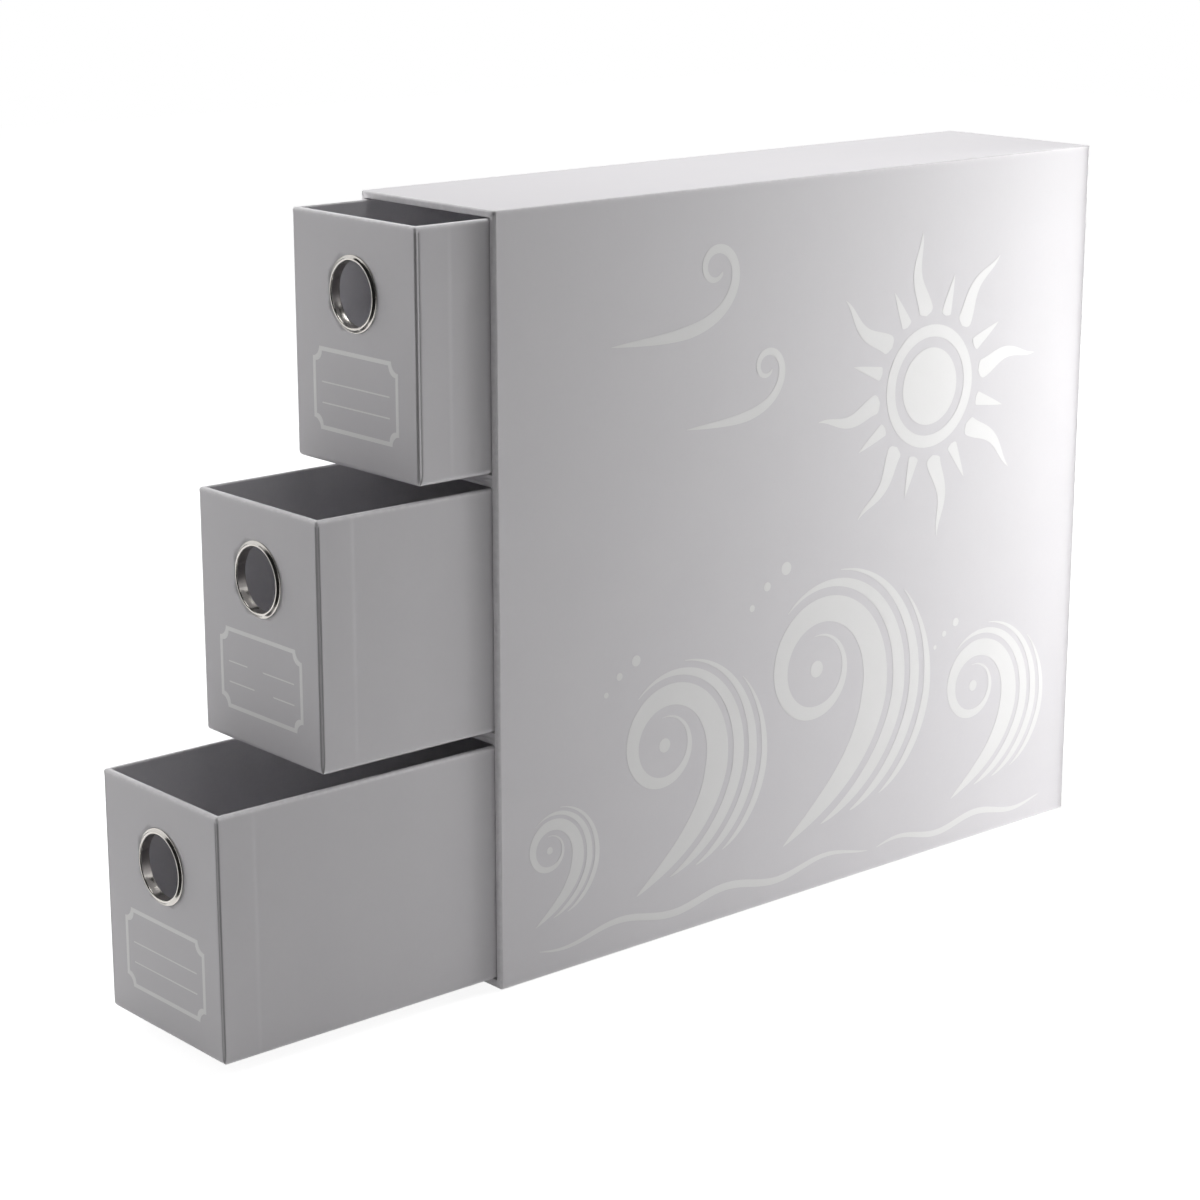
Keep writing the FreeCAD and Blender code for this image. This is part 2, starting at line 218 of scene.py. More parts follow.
def newGroup(name, inputs, outputs):
    # A node group with its named sockets; returns the tree, its input node and its output node.
    tree = bpy.data.node_groups.new(name, "ShaderNodeTree")
    for socket, kind in inputs.items():
        tree.interface.new_socket(name=socket, in_out="INPUT", socket_type=kind)
    for socket, kind in outputs.items():
        tree.interface.new_socket(name=socket, in_out="OUTPUT", socket_type=kind)
    return tree, tree.nodes.new("NodeGroupInput"), tree.nodes.new("NodeGroupOutput")


def paperGrainGroup():
    # Cloudy mottle with fine fibres over it: tone is their blend, height is mostly the fibres.
    number, vector = "NodeSocketFloat", "NodeSocketVector"
    tree, given, result = newGroup(
        "paperGrain",
        {"Place": vector, "Cloud Scale": number, "Fibre Scale": number, "Fibre Share": number},
        {"Tone": number, "Height": number},
    )
    cloud = addNode(tree, "ShaderNodeTexNoise", Vector=given.outputs["Place"],
                    Scale=given.outputs["Cloud Scale"], Detail=5.0, Roughness=0.6)
    drawn = addNode(tree, "ShaderNodeMapping", {"vector_type": "POINT"}, Vector=given.outputs["Place"],
                    Scale=(1.0, 0.55, 0.45))
    fibre = addNode(tree, "ShaderNodeTexNoise", Vector=drawn.outputs[0],
                    Scale=given.outputs["Fibre Scale"], Detail=4.0, Roughness=0.65, Distortion=0.8)
    tone = addNode(tree, "ShaderNodeMix", {"data_type": "FLOAT"}, Factor=given.outputs["Fibre Share"],
                   i2=cloud.outputs[0], i3=fibre.outputs[0])
    spread = addNode(tree, "ShaderNodeMapRange", Value=tone.outputs[0], From_Min=0.3, From_Max=0.7)
    height = addNode(tree, "ShaderNodeMath", {"operation": "MULTIPLY_ADD"},
                     i0=cloud.outputs[0], i1=0.35, i2=fibre.outputs[0])
    tree.links.new(spread.outputs[0], result.inputs["Tone"])
    tree.links.new(height.outputs[0], result.inputs["Height"])
    return tree


def foldWearAndHighlightGroup():
    # Rubbed patches along folds, which also place a painted highlight there: the fold mask, broken up by
    # noise.
    number, vector = "NodeSocketFloat", "NodeSocketVector"
    tree, given, result = newGroup("foldWearAndHighlight", {"Place": vector, "Fold": number, "Amount": number},
                                   {"Mask": number})
    patch = addNode(tree, "ShaderNodeTexNoise", Vector=given.outputs["Place"], Scale=420.0, Detail=3.0)
    broken = addNode(tree, "ShaderNodeMapRange", Value=patch.outputs[0], From_Min=0.35, From_Max=0.65,
                     To_Min=0.7)
    rubbedAndHighlit = addNode(tree, "ShaderNodeMath", {"operation": "MULTIPLY"},
                     i0=given.outputs["Fold"], i1=broken.outputs[0])
    mask = addNode(tree, "ShaderNodeMath", {"operation": "MULTIPLY", "use_clamp": True},
                   i0=rubbedAndHighlit.outputs[0], i1=given.outputs["Amount"])
    tree.links.new(mask.outputs[0], result.inputs["Mask"])
    return tree


paperGrain = paperGrainGroup()
foldWearAndHighlight = foldWearAndHighlightGroup()

# Every finish: its two tones, the tone of rubbed folds (on the outer paper much paler, which also paints a
# highlight there), the painted shade tone in creases, how rough it is and where rubbed, its gloss, and
# the size, share and depth of its clouds and fibres.
outerPaper = {
    "dark": (0.684, 0.669, 0.690), "light": (0.710, 0.695, 0.712), "rubbedAndHighlit": (0.94, 0.925, 0.94),
    "paintedCreaseShade": (0.30, 0.29, 0.30), "roughness": (0.50, 0.60), "polished": 0.30, "gloss": 0.40,
    "cloud": 26.0, "fibre": 1500.0, "share": 0.35, "depth": 0.05 * mm, "bump": 0.10, "wearAndHighlight": 1.0,
}
ink = {
    "dark": (0.80, 0.795, 0.79), "light": (0.82, 0.815, 0.81), "rubbedAndHighlit": (0.82, 0.82, 0.82),
    "paintedCreaseShade": (0.30, 0.29, 0.30), "roughness": (0.34, 0.42), "polished": 0.34, "gloss": 0.5,
    "cloud": 40.0, "fibre": 1500.0, "share": 0.4, "depth": 0.04 * mm, "bump": 0.08, "wearAndHighlight": 0.0,
}
liningPaper = {
    "dark": (0.77, 0.76, 0.79), "light": (0.82, 0.81, 0.83), "rubbedAndHighlit": (0.80, 0.80, 0.81),
    "paintedCreaseShade": (0.30, 0.29, 0.30), "roughness": (0.78, 0.9), "polished": 0.78, "gloss": 0.2,
    "cloud": 60.0, "fibre": 1100.0, "share": 0.6, "depth": 0.08 * mm, "bump": 0.25, "wearAndHighlight": 0.3,
}
greyboard = {
    "dark": (0.22, 0.21, 0.20), "light": (0.34, 0.33, 0.31), "rubbedAndHighlit": (0.4, 0.4, 0.38),
    "paintedCreaseShade": (0.30, 0.29, 0.30), "roughness": (0.85, 0.95), "polished": 0.85, "gloss": 0.15,
    "cloud": 300.0, "fibre": 1800.0, "share": 0.6, "depth": 0.12 * mm, "bump": 0.4, "wearAndHighlight": 0.0,
}
finishes = {
    "casePaper": outerPaper,
    "drawerPaper": {**outerPaper, "cloud": 34.0},
    "printInk": ink,
    "labelInk": {**ink, "dark": (0.87, 0.865, 0.86), "light": (0.90, 0.895, 0.89)},
    "liningPaper": liningPaper,
    "greyboard": greyboard,
}

nickel = {
    "dark": (0.57, 0.545, 0.51),
    "light": (0.67, 0.645, 0.61),
    "roughness": (0.15, 0.24),
    "cloud": 180.0,
    "scratch": 2600.0,
    "bump": 0.05,
    "depth": 0.02 * mm,
}


def paperMaterial(name, look):
    # Paper or board: cloudy tone, paler and smoother where folds are rubbed (the paleness partly a painted
    # highlight), and darker along creases, which is painted shade.
    material, tree = newMaterial(name)
    place = addNode(tree, "ShaderNodeTexCoord").outputs["Object"]
    grain = addNode(tree, "ShaderNodeGroup", {"node_tree": paperGrain}, Place=place,
                    Cloud_Scale=look["cloud"], Fibre_Scale=look["fibre"], Fibre_Share=look["share"])
    fold = addNode(tree, "ShaderNodeAttribute", {"attribute_name": "fold"})
    wearAndHighlight = addNode(tree, "ShaderNodeGroup", {"node_tree": foldWearAndHighlight}, Place=place,
                   Fold=fold.outputs["Fac"], Amount=look["wearAndHighlight"])
    body = addNode(tree, "ShaderNodeMix", {"data_type": "RGBA"}, i0=grain.outputs["Tone"],
                   i6=look["dark"] + (1,), i7=look["light"] + (1,))
    # Painted highlight as well as wear: rubbed folds turn to a paler tone, on the outer paper much paler than
    # the paper itself.
    wornAndHighlit = addNode(tree, "ShaderNodeMix", {"data_type": "RGBA"}, i0=wearAndHighlight.outputs["Mask"],
                   i6=body.outputs[2], i7=look["rubbedAndHighlit"] + (1,))
    # Painted shade: the crease attribute darkens the paper towards a dark tone in the corner creases and the
    # case's dent.
    crease = addNode(tree, "ShaderNodeAttribute", {"attribute_name": "crease"})
    creaseShaded = addNode(tree, "ShaderNodeMix", {"data_type": "RGBA"}, i0=crease.outputs["Fac"],
                     i6=wornAndHighlit.outputs[2], i7=look["paintedCreaseShade"] + (1,))
    smoothest, roughest = look["roughness"]
    rough = addNode(tree, "ShaderNodeMapRange", Value=grain.outputs["Tone"], To_Min=smoothest,
                    To_Max=roughest)
    polished = addNode(tree, "ShaderNodeMix", {"data_type": "FLOAT"}, Factor=wearAndHighlight.outputs["Mask"],
                       i2=rough.outputs[0], i3=look["polished"])
    bump = addNode(tree, "ShaderNodeBump", Height=grain.outputs["Height"], Distance=look["depth"],
                   Strength=look["bump"])
    shader = addNode(tree, "ShaderNodeBsdfPrincipled", Base_Color=creaseShaded.outputs[2],
                     Roughness=polished.outputs[0], Specular_IOR_Level=look["gloss"], Normal=bump.outputs[0])
    addNode(tree, "ShaderNodeOutputMaterial", Surface=shader.outputs[0])
    return material


def nickelMaterial(name, look):
    # Plated steel: faint clouding in colour and gloss, and hairline scratches in the bump.
    material, tree = newMaterial(name)
    place = addNode(tree, "ShaderNodeTexCoord").outputs["Object"]
    cloud = addNode(tree, "ShaderNodeTexNoise", Vector=place, Scale=look["cloud"], Detail=4.0)
    drawn = addNode(tree, "ShaderNodeMapping", Vector=place, Rotation=(0.3, 0.5, 0.8),
                    Scale=(1.0, 0.12, 1.0))
    scratch = addNode(tree, "ShaderNodeTexNoise", Vector=drawn.outputs[0], Scale=look["scratch"],
                      Detail=2.0)
    body = addNode(tree, "ShaderNodeMix", {"data_type": "RGBA"}, i0=cloud.outputs[0],
                   i6=look["dark"] + (1,), i7=look["light"] + (1,))
    smoothest, roughest = look["roughness"]
    rough = addNode(tree, "ShaderNodeMapRange", Value=cloud.outputs[0], From_Min=0.3, From_Max=0.7,
                    To_Min=smoothest, To_Max=roughest)
    bump = addNode(tree, "ShaderNodeBump", Height=scratch.outputs[0], Distance=look["depth"],
                   Strength=look["bump"])
    shader = addNode(tree, "ShaderNodeBsdfPrincipled", Base_Color=body.outputs[2],
                     Roughness=rough.outputs[0], Metallic=1.0, Normal=bump.outputs[0])
    addNode(tree, "ShaderNodeOutputMaterial", Surface=shader.outputs[0])
    return material


materials = {name: paperMaterial(name, look) for name, look in finishes.items()}
materials["nickel"] = nickelMaterial("nickel", nickel)
print("finishes made")


def corners(node):
    # The lowest and highest corner of a CAD piece, in millimetres.
    low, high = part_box(node)
    return np.array(low) / mm, np.array(high) / mm


def eased(share):
    # 0 to 1 with flat ends: three times the square less twice the cube.
    share = np.clip(share, 0.0, 1.0)
    return share * share * (3.0 - 2.0 * share)


def bell(distance, width):
    # 1 at no distance, falling with the square of the distance over the width, as a normal curve does.
    return np.exp(-0.5 * (distance / width) ** 2)


def quadFaces(rows, columns, closeRows, closeColumns):
    # The four corners of each cell of a grid, as vertex numbers.
    r = np.arange(rows if closeRows else rows - 1)
    c = np.arange(columns if closeColumns else columns - 1)
    row, column = np.meshgrid(r, c, indexing="ij")
    nextRow, nextColumn = (row + 1) % rows, (column + 1) % columns
    cells = [row * columns + column, row * columns + nextColumn,
             nextRow * columns + nextColumn, nextRow * columns + column]
    return np.stack(cells, axis=-1).reshape(-1, 4)


def cappedFaces(rows, columns):
    # The cells of a stack of closed loops, and one face over each end.
    ends = [list(range(columns))[::-1], list(range((rows - 1) * columns, rows * columns))]
    return [list(face) for face in quadFaces(rows, columns, False, True)] + ends


def makeMesh(name, points, faces, material, sharpAngle=35.0, crease=None):
    # Points in millimetres, with the share of painted crease shade at each, if any. Doubles are merged, and a
    # mesh whose enclosed volume is negative is turned.
    mesh = bpy.data.meshes.new(name)
    mesh.from_pydata((np.asarray(points).reshape(-1, 3) * mm).tolist(), [], [list(face) for face in faces])
    if crease is not None:
        layer = mesh.attributes.new("crease", "FLOAT", "POINT")
        layer.data.foreach_set("value", np.asarray(crease, dtype=np.float32).ravel())
    work = bmesh.new()
    work.from_mesh(mesh)
    bmesh.ops.remove_doubles(work, verts=work.verts, dist=2e-7)
    bmesh.ops.dissolve_degenerate(work, edges=work.edges, dist=1e-7)
    if work.calc_volume(signed=True) < 0:
        bmesh.ops.reverse_faces(work, faces=work.faces)
    work.to_mesh(mesh)
    work.free()
    mesh.materials.append(material)
    mesh.shade_smooth()
    mesh.set_sharp_from_angle(angle=math.radians(sharpAngle))
    piece = bpy.data.objects.new(name, mesh)
    bpy.context.scene.collection.objects.link(piece)
    return piece


def vertexArray(piece):
    points = np.zeros(len(piece.data.vertices) * 3)
    piece.data.vertices.foreach_get("co", points)
    return points.reshape(-1, 3) / mm


def paintFold(piece, values):
    # The share of fold wear and painted highlight at each vertex, which the paper finishes read.
    layer = piece.data.attributes.new("fold", "FLOAT", "POINT")
    layer.data.foreach_set("value", np.asarray(values, dtype=np.float32))


def loopColumns(width, depth, radius, arcSteps, spacing, extra=()):
    # A walk round a rounded rectangle. A column has its share of the inner rectangle, its outward
    # direction, its distance along the outline from the nearest corner's middle, and that corner.
    signs = np.array([(1, -1), (1, 1), (-1, 1), (-1, -1)], float)
    ends = np.array([0.05, 0.12, 0.18, 0.24, 0.3, 0.36, 0.43, 0.52, 0.65, 0.9, 1.3, 2.0, 3.2, 5.0])
    half = radius * math.pi / 4
    share, way, arc, corner = [], [], [], []
    for index in range(4):
        turn = np.linspace(0, math.pi / 2, arcSteps + 1)
        angle = turn + math.radians(90 * index - 90)
        share.append(np.tile(signs[index], (arcSteps + 1, 1)))
        way.append(np.column_stack([np.cos(angle), np.sin(angle)]))
        arc.append(radius * turn - half)
        corner.append(np.full(arcSteps + 1, index))
        length = (depth if index % 2 == 0 else width) - 2 * radius
        middle = np.linspace(ends[-1], length - ends[-1], max(2, round(length / spacing)))
        own = np.array(extra if index in (0, 2) else (), float)
        own = length - own if index == 2 else own
        stops = np.unique(np.round(np.concatenate([ends, length - ends, middle, own]), 6))
        following = signs[(index + 1) % 4]
        share.append(signs[index] + (following - signs[index]) * (stops / length)[:, None])
        way.append(np.tile((signs[index] + following) / 2, (len(stops), 1)))
        nearer = stops < length / 2
        arc.append(np.where(nearer, half + stops, stops - length - half))
        corner.append(np.where(nearer, index, (index + 1) % 4))
    return {"share": np.vstack(share), "way": np.vstack(way), "arc": np.concatenate(arc),
            "corner": np.concatenate(corner)}


def loopPoints(columns, centre, half, radius):
    # One row for each centre, half size and radius: the inner rectangle's point plus the radius outward.
    inner = np.asarray(half) - np.asarray(radius)[:, None]
    return (np.asarray(centre)[:, None, :] + columns["share"][None] * inner[:, None, :]
            + columns["way"][None] * np.asarray(radius)[:, None, None])


def stacked(plan, height):
    # The loops' plan points with each row's height.
    return np.concatenate([plan, np.broadcast_to(height[:, None, None], plan.shape[:2] + (1,))], axis=2)


def cutHole(piece, centre, radius, reach, around=96):
    # Takes a round hole along Y out of a piece.
    turn = np.linspace(0, 2 * math.pi, around, endpoint=False)
    ring = np.column_stack([radius * np.cos(turn), np.zeros(around), radius * np.sin(turn)]) + centre
    points = np.vstack([ring - (0, reach, 0), ring + (0, reach, 0)])
    cutter = makeMesh("cutter", points, cappedFaces(2, around), piece.data.materials[0])
    cut = piece.modifiers.new("hole", "BOOLEAN")
    cut.operation = "DIFFERENCE"
    cut.solver = "EXACT"
    cut.object = cutter
    bpy.context.view_layer.update()
    done = bpy.data.meshes.new_from_object(piece.evaluated_get(bpy.context.evaluated_depsgraph_get()))
    piece.modifiers.clear()
    old, piece.data = piece.data, done
    bpy.data.meshes.remove(old)
    bpy.data.objects.remove(cutter)


def finish(piece, body, slot, *nodes):
    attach(piece, body)
    if nodes:
        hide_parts(*nodes)


drawerShape = {
    "edgeRadius": 0.95,
    "footRadius": 2.2,
    "paper": 0.3,
    "rimOuter": 1.2,
    "rimInner": 0.4,
    "rimBead": 0.08,
    "wall": 2.2,
    "lip": 1.4,
    "boardInset": 2.1,
    "creaseWidth": (0.22, 0.17),
    "creaseDepth": (0.12, 0.08),
    "creaseSunk": 0.08,
    "creaseSoft": 0.2,
    "creaseFade": (0.9, 0.8),
    "creaseClosing": (0.85, 5.0),
    "creaseShade": (0.6, 0.8),
    "shadeSpread": 1.3,
    "pinchBelow": 2.6,
    "pinchWidth": 0.6,
    "pinchDepth": 0.04,
    "flapLength": 16.0,
    "flapStep": 0.07,
    "flapSoft": 2.0,
    "ripple": 0.025,
    "rowSpacing": 8.0,
    "columnSpacing": 8.0,
    "arcSteps": 26,
}


def drawerRows(low, high, shape):
    # The paper's section from the underside, up the wall, over the rim and back down
    # inside the board: how far each row is inset from the outside, and its height.
    bottom, top, edge, paper = low[2], high[2], shape["footRadius"], shape["paper"]
    lowTurn = np.linspace(0, math.pi / 2, 9)
    rimTurn = np.linspace(0, math.pi / 2, 7)
    wallLow, wallHigh = bottom + edge, top - shape["rimOuter"]
    near = np.array([0.25, 0.7, 1.3, 2.0, 3.0, 5.0])
    climb = np.linspace(wallLow + near[-1], wallHigh - near[-1],
                        round((wallHigh - wallLow) / shape["rowSpacing"]))
    climb = np.unique(np.round(np.concatenate([wallLow + near, climb, wallHigh - near]), 6))
    flat = shape["wall"] - shape["rimInner"]
    inner, under = edge - paper, shape["rimOuter"] - paper
    runs = [
        ([20.0, 8.0, 3.5], [bottom] * 3),
        (edge * (1 - np.sin(lowTurn)), bottom + edge * (1 - np.cos(lowTurn))),
        (-shape["rimBead"] * eased((climb - wallHigh + 2.4) / 2.2), climb),
        (shape["rimOuter"] * (1 - np.cos(rimTurn)) - shape["rimBead"],
         wallHigh + shape["rimOuter"] * np.sin(rimTurn)),
        (flat + shape["rimInner"] * np.sin(rimTurn), top - shape["rimInner"] * (1 - np.cos(rimTurn))),
        ([shape["wall"], shape["wall"] - 0.04, shape["boardInset"], shape["boardInset"]],
         [top - shape["lip"] + 0.1, top - shape["lip"], top - shape["lip"], top - paper]),
        (paper + under * (1 - np.cos(rimTurn[::-1])), top - paper - under * (1 - np.sin(rimTurn[::-1]))),
        (np.full(len(climb), paper), climb[::-1]),
        (paper + inner * (1 - np.cos(lowTurn)), bottom + edge - inner * np.sin(lowTurn)),
        ([8.0, 20.0], [bottom + paper] * 2),
    ]
    inset = np.concatenate([np.asarray(run[0], float) for run in runs])
    height = np.concatenate([np.asarray(run[1], float) for run in runs])
    return inset, height


def boardRipple(across, along, z):
    # The slow unevenness of covered board: a sum of sines with waves 20 to 60 mm long.
    waves = (np.sin(along / 5.3 + 0.8) + 0.8 * np.sin(along / 9.1 + z / 31.0)
             + 0.7 * np.sin(along / 3.1 - z / 47.0) + 0.8 * np.sin(across / 7.0 + z / 12.0))
    return drawerShape["ripple"] * waves


def drawerSurface(columns, inset, height, low, high, shape, folds):
    # Rounded loops stacked by row. Push is the sum of two bell-shaped creases beside each corner with
    # the strip between them sunk, the pinch under the rim, the step behind the flap that comes round
    # from the front, and the board's slow ripple. Also the share of painted crease shade at each point.
    centre = (low[:2] + high[:2]) / 2
    half = np.tile((high[:2] - low[:2]) / 2, (len(inset), 1)) - inset[:, None]
    radius = np.minimum(np.maximum(shape["edgeRadius"] - inset, 0.12), np.maximum(half.min(axis=1), 0.0))
    plan = loopPoints(columns, np.tile(centre, (len(inset), 1)), half, radius)
    z = height[:, None]
    arc, corner = columns["arc"][None], columns["corner"]
    share, reach = shape["creaseClosing"]
    closing = 1 - share * (1 - eased((z - low[2]) / reach))
    start = high[2] - np.array(folds["below"])[corner][None]
    fadeHigh, fadeLow = shape["creaseFade"]
    fade = eased((start - z) / fadeHigh) * eased((z - low[2] - 0.1) / fadeLow)
    onFront, onSide = folds["at"]
    way = np.where(corner % 2 == 0, 1.0, -1.0)[None]
    middle, apart = (onFront + onSide) / 2, (onSide - onFront) / 2 * closing
    (softWidth, sharpWidth), (softDepth, sharpDepth) = shape["creaseWidth"], shape["creaseDepth"]
    aside = arc * way - middle
    crease = (softDepth * bell(aside + apart, softWidth) + sharpDepth * bell(aside - apart, sharpWidth)
              + shape["creaseSunk"] * eased((apart - np.abs(aside)) / shape["creaseSoft"] + 0.5))
    across, along = plan[..., 0], plan[..., 1]
    isSide = np.abs(columns["way"][:, 0])[None] > 0.999
    behind = along - low[1]
    step = shape["flapStep"] * eased((behind - shape["flapLength"]) / shape["flapSoft"] + 0.5)
    away = eased((np.abs(arc) - 2.0) / 6.0) * eased((high[2] - z) / 6.0)
    pinch = shape["pinchDepth"] * bell(high[2] - z - shape["pinchBelow"], shape["pinchWidth"])
    push = crease * fade + pinch + isSide * step + away * boardRipple(across, along, z)
    outside = np.arange(len(inset))[:, None] < np.argmax(height)
    plan = plan - columns["way"][None] * (push * outside)[..., None]
    (softShade, sharpShade), spread = shape["creaseShade"], shape["shadeSpread"]
    shade = (softShade * bell(aside + apart, softWidth * spread)
             + sharpShade * bell(aside - apart, sharpWidth * spread)) * fade * outside
    return stacked(plan, height), shade


def addDrawerPaper(which, folds):
    low, high = corners(which + "_drawer_wrap")
    shape = drawerShape
    behindFlap = shape["flapLength"] - shape["edgeRadius"] + shape["flapSoft"] * np.linspace(-1, 1, 9)
    columns = loopColumns(high[0] - low[0], high[1] - low[1], shape["edgeRadius"], shape["arcSteps"],
                          shape["columnSpacing"], behindFlap)
    inset, height = drawerRows(low, high, shape)
    points, shade = drawerSurface(columns, inset, height, low, high, shape, folds)
    # The shade along the corner creases is painted shade, carried as the crease attribute.
    paper = makeMesh(which + "_drawer_paper", points, cappedFaces(*points.shape[:2]),
                     materials["drawerPaper"], crease=shade)
    cutHole(paper, holeCentre(which), ringShape["hole"], 5.0)
    at = vertexArray(paper)
    edge = np.minimum(np.abs(np.abs(at[:, 0]) - high[0]), np.minimum(at[:, 1] - low[1], high[1] - at[:, 1]))
    # The fold share on the rim crest and the foot edges is wear and painted highlight.
    rim = bell(at[:, 2] - high[2] + 0.5, 0.5)
    foot = bell(at[:, 2] - low[2] - 0.4, 0.5) * bell(edge, 0.8)
    paintFold(paper, np.clip(rim + 0.7 * foot, 0, 1))
    finish(paper, which + "_drawer", "drawer_paper", which + "_drawer_wrap")


def addPressedBoard(node, name, body, plane, outline, reach):
    # A board with its outer edges pressed round, so that the paper bends over them softly: the edges
    # in its front or top plane that run along the outline of all the boards or cut its corners.
    axis, level = plane
    across, near, shortest = [other for other in range(3) if other != axis], 0.01, 3 * mm
    piece = bpy.data.objects.new(name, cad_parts[node].data.copy())
    bpy.context.scene.collection.objects.link(piece)
    work = bmesh.new()
    work.from_mesh(piece.data)
    bmesh.ops.remove_doubles(work, verts=work.verts, dist=2e-6)
    bmesh.ops.dissolve_limit(work, angle_limit=0.01, verts=work.verts, edges=work.edges)
    pressed = []
    for edge in work.edges:
        ends = np.array([end.co for end in edge.verts]) / mm
        onOutline = np.hstack([np.abs(ends[:, across] - side[across]) for side in outline]) < near
        cutsCorner = onOutline.any(axis=1).all() and edge.calc_length() < shortest
        if (np.abs(ends[:, axis] - level) < near).all() and (onOutline.all(axis=0).any() or cutsCorner):
            pressed.append(edge)
    bmesh.ops.bevel(work, geom=pressed, offset=reach * mm, segments=5, profile=0.5, affect="EDGES")
    work.to_mesh(piece.data)
    work.free()
    piece.data.materials.clear()
    piece.data.materials.append(materials["greyboard"])
    finish(piece, body, "greyboard", node)


def addDrawerBoards(which):
    start = which + "_drawer_"
    low, high = corners(start + "front_board")
    outline = low, np.array([high[0], corners(start + "back_board")[1][1], high[2]])
    for side in ("left", "right", "front", "back"):
        addPressedBoard(start + side + "_board", start + side + "_card", which + "_drawer", (2, high[2]),
                        outline, drawerShape["rimOuter"] - drawerShape["paper"])


liningShape = {
    "turnIn": 16.0,
    "proud": 0.08,
    "topDrop": 0.55,
    "sheet": 0.2,
    "corner": 0.5,
}


def addDrawerLining(which):
    # A thin tray: up the outside, over the top edge, down the inside with a step where the turned-in
    # paper ends underneath it, and across the floor.
    shape = liningShape
    low, high = corners(which + "_drawer_lining")
    rim = corners(which + "_drawer_wrap")[1][2]
    top, floor, step = rim - shape["topDrop"], low[2] + shape["sheet"], rim - shape["turnIn"]
    full = shape["sheet"] + shape["proud"]
    stages = [
        (8.0, low[2]), (0.0, low[2]), (0.0, low[2] + 1.0), (0.0, top),
        (full * 0.5, top + 0.04), (full, top), (full, top - 0.3), (full, step + 0.7),
        (shape["sheet"] + 0.85 * shape["proud"], step + 0.25),
        (shape["sheet"] + 0.15 * shape["proud"], step - 0.25),
        (shape["sheet"], step - 0.7), (shape["sheet"], step - 12.0), (shape["sheet"], floor + 8.0),
        (shape["sheet"], floor + 0.5), (shape["sheet"] + 0.15, floor + 0.15), (shape["sheet"] + 0.5, floor),
        (3.0, floor), (12.0, floor),
    ]
    inset, height = np.array([s[0] for s in stages]), np.array([s[1] for s in stages])
    columns = loopColumns(high[0] - low[0], high[1] - low[1], shape["corner"], 6, 12.0)
    centre = np.tile((low[:2] + high[:2]) / 2, (len(inset), 1))
    half = np.tile((high[:2] - low[:2]) / 2, (len(inset), 1)) - inset[:, None]
    radius = np.minimum(shape["corner"], np.maximum(half.min(axis=1), 0.0))
    plan = loopPoints(columns, centre, half, radius)
    points = stacked(plan, height)
    lining = makeMesh(which + "_drawer_lining_paper", points, cappedFaces(*points.shape[:2]),
                      materials["liningPaper"])
    cutHole(lining, holeCentre(which), ringShape["hole"], 5.0)
    paintFold(lining, bell(vertexArray(lining)[:, 2] - top, 0.4))
    finish(lining, which + "_drawer", "lining_paper", which + "_drawer_lining")


ringShape = {
    "flange": 14.95,
    "proud": 1.2,
    "roll": 0.50,
    "slope": 40.0,
    "dip": 0.06,
    "edgeRound": 0.30,
    "bore": 12.8,
    "waist": 0.10,
    "barrelOut": 13.2,
    "lip": 14.0,
    "depth": 3.3,
    "lipThick": 0.4,
    "hole": 13.35,
    "washerRound": 0.22,
    "around": 144,
}


def holeCentre(which):
    # On the front face, in the middle of the ring.
    low, high = corners(which + "_drawer_ring")
    face = corners(which + "_drawer_wrap")[0][1]
    return np.array([(low[0] + high[0]) / 2, face, (low[2] + high[2]) / 2])


def turned(name, centre, radii, heights, material):
    # A closed profile of radius and height turned round the Y axis through the centre.
    turn = np.linspace(0, 2 * math.pi, ringShape["around"], endpoint=False)
    radii, heights = np.asarray(radii)[:, None], np.asarray(heights)[:, None]
    points = np.stack([centre[0] + radii * np.cos(turn), centre[1] - heights + 0 * turn,
                       centre[2] + radii * np.sin(turn)], axis=-1)
    return makeMesh(name, points, quadFaces(points.shape[0], points.shape[1], True, True), material, 50.0)


def addRing(which):
    # From the outer edge up the sloping flange, over the narrow crest, down the bore and out at the back.
    shape, centre = ringShape, holeCentre(which)
    quarter = np.linspace(0, math.pi / 2, 9)
    slope = math.radians(shape["slope"])
    over = np.linspace(slope, -math.pi / 2, 13)
    roll, soft, along = shape["roll"], shape["edgeRound"], np.linspace(0, 1, 9)[1:-1]
    rollAt = np.array([shape["bore"] + roll, shape["proud"] - roll])
    crestStart = rollAt + roll * np.array([math.sin(slope), math.cos(slope)])
    edgeEnd = np.array([shape["flange"] - soft, 0.02 + soft])
    straight = edgeEnd + (crestStart - edgeEnd) * along[:, None]
    dip = shape["dip"] * np.sin(math.pi * along ** 0.7)
    deep = np.linspace(0, 1, 9)[1:]
    flare = shape["lip"] - shape["bore"]
    barrelEnd = 0.4 - shape["depth"]
    runs = [
        (edgeEnd[0] + soft * np.cos(quarter), edgeEnd[1] - soft + soft * np.sin(quarter)),
        (straight[:, 0] - dip * math.sin(slope), straight[:, 1] - dip * math.cos(slope)),
        (rollAt[0] + roll * np.sin(over), rollAt[1] + roll * np.cos(over)),
        (shape["bore"] + shape["waist"] * np.sin(math.pi * deep), rollAt[1] + (barrelEnd - rollAt[1]) * deep),
        (shape["bore"] + flare * (1 - np.cos(quarter[1:])), barrelEnd - 0.4 * np.sin(quarter[1:])),
        ([shape["lip"], shape["barrelOut"], shape["barrelOut"], shape["flange"] - 0.1],
         [shape["lipThick"] - shape["depth"], shape["lipThick"] - shape["depth"], 0.02, 0.02]),
    ]
    radii = np.concatenate([np.asarray(run[0], float) for run in runs])
    heights = np.concatenate([np.asarray(run[1], float) for run in runs])
    ring = turned(which + "_drawer_grommet", centre, radii, heights, materials["nickel"])
    finish(ring, which + "_drawer", "nickel", which + "_drawer_ring")


